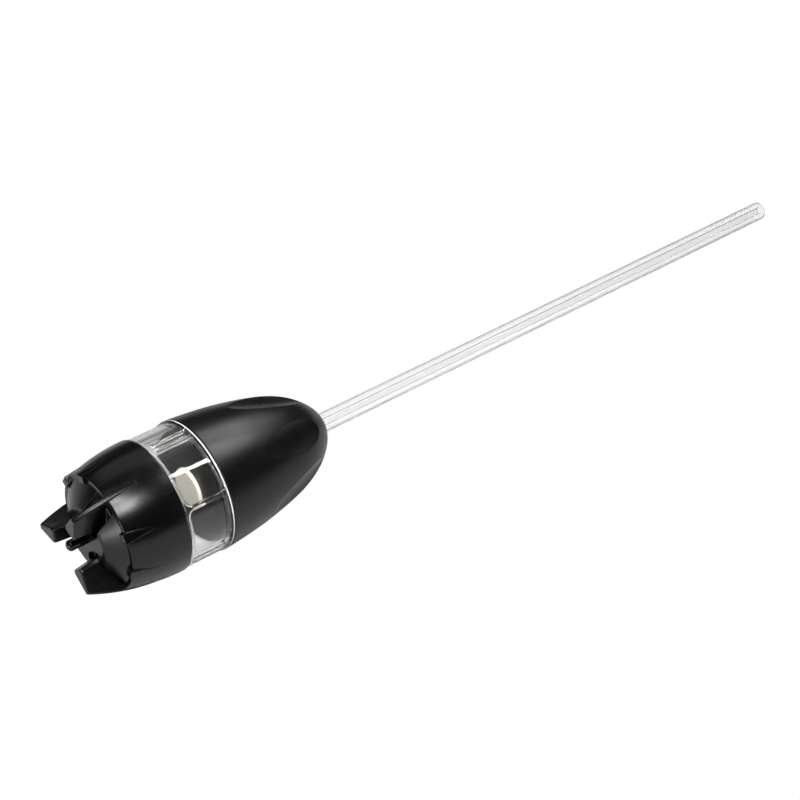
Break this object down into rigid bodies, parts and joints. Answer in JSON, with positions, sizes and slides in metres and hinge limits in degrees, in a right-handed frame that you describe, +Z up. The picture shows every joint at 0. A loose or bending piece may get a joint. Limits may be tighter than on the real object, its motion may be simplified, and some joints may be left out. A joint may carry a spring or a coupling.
{
  "type": "fuel sampler cup",
  "caption": "Hand-held fuel sampler: finned crown with prongs and a valve pin, clear sight cup, bullet-shaped handle with finger scoops and a long clear rod.",
  "frame": {"origin": "on the sampler's axis, in the parting plane between the clear cup and the handle, where the hand holds it", "axes": "+X runs along the axis towards the free end of the clear rod, -X ends at the prongs, +Z is up"},
  "size_m": [0.2928, 0.0434, 0.0434],
  "materials": {
    "handle_black": "fine satin moulded black",
    "crown_black": "satin black, glossier on the prongs",
    "floor_black": "smooth black",
    "pale_nylon": "pale natural nylon",
    "seal_rubber": "black nitrile",
    "clear_cup": "clear moulded acrylic",
    "clear_rod": "clear cast acrylic",
    "pin_black": "polished black acetal"
  },
  "bodies": {
    "handle": {"handle_shell": "handle_black", "rod_socket": "floor_black", "rod_seal": "seal_rubber", "cup_floor": "floor_black", "floor_plug": "pale_nylon", "plug_seal": "seal_rubber", "floor_seal": "seal_rubber", "clear_cup": "clear_cup"},
    "seal_ring": {"cap_seal": "seal_rubber"},
    "crown": {"crown_shell": "crown_black", "nose_insert": "crown_black", "valve_pin": "pin_black"},
    "rod": {"clear_rod": "clear_rod"}
  },
  "joints": [
    {"name": "crown_lift", "type": "slide", "parent": "handle", "child": "seal_ring", "axis": [-1, 0, 0], "range_m": [0, 0.006]},
    {"name": "crown_turn", "type": "hinge", "parent": "seal_ring", "child": "crown", "pos_m": [-0.03, 0, 0], "axis": [-1, 0, 0], "range_deg": [0, 360]},
    {"name": "rod_slide", "type": "slide", "parent": "handle", "child": "rod", "axis": [1, 0, 0], "range_m": [0, 0.045]}
  ],
  "couplings": [
    {"joint": "crown_lift", "follows": "crown_turn", "m_per_rad": 0.000954}
  ]
}
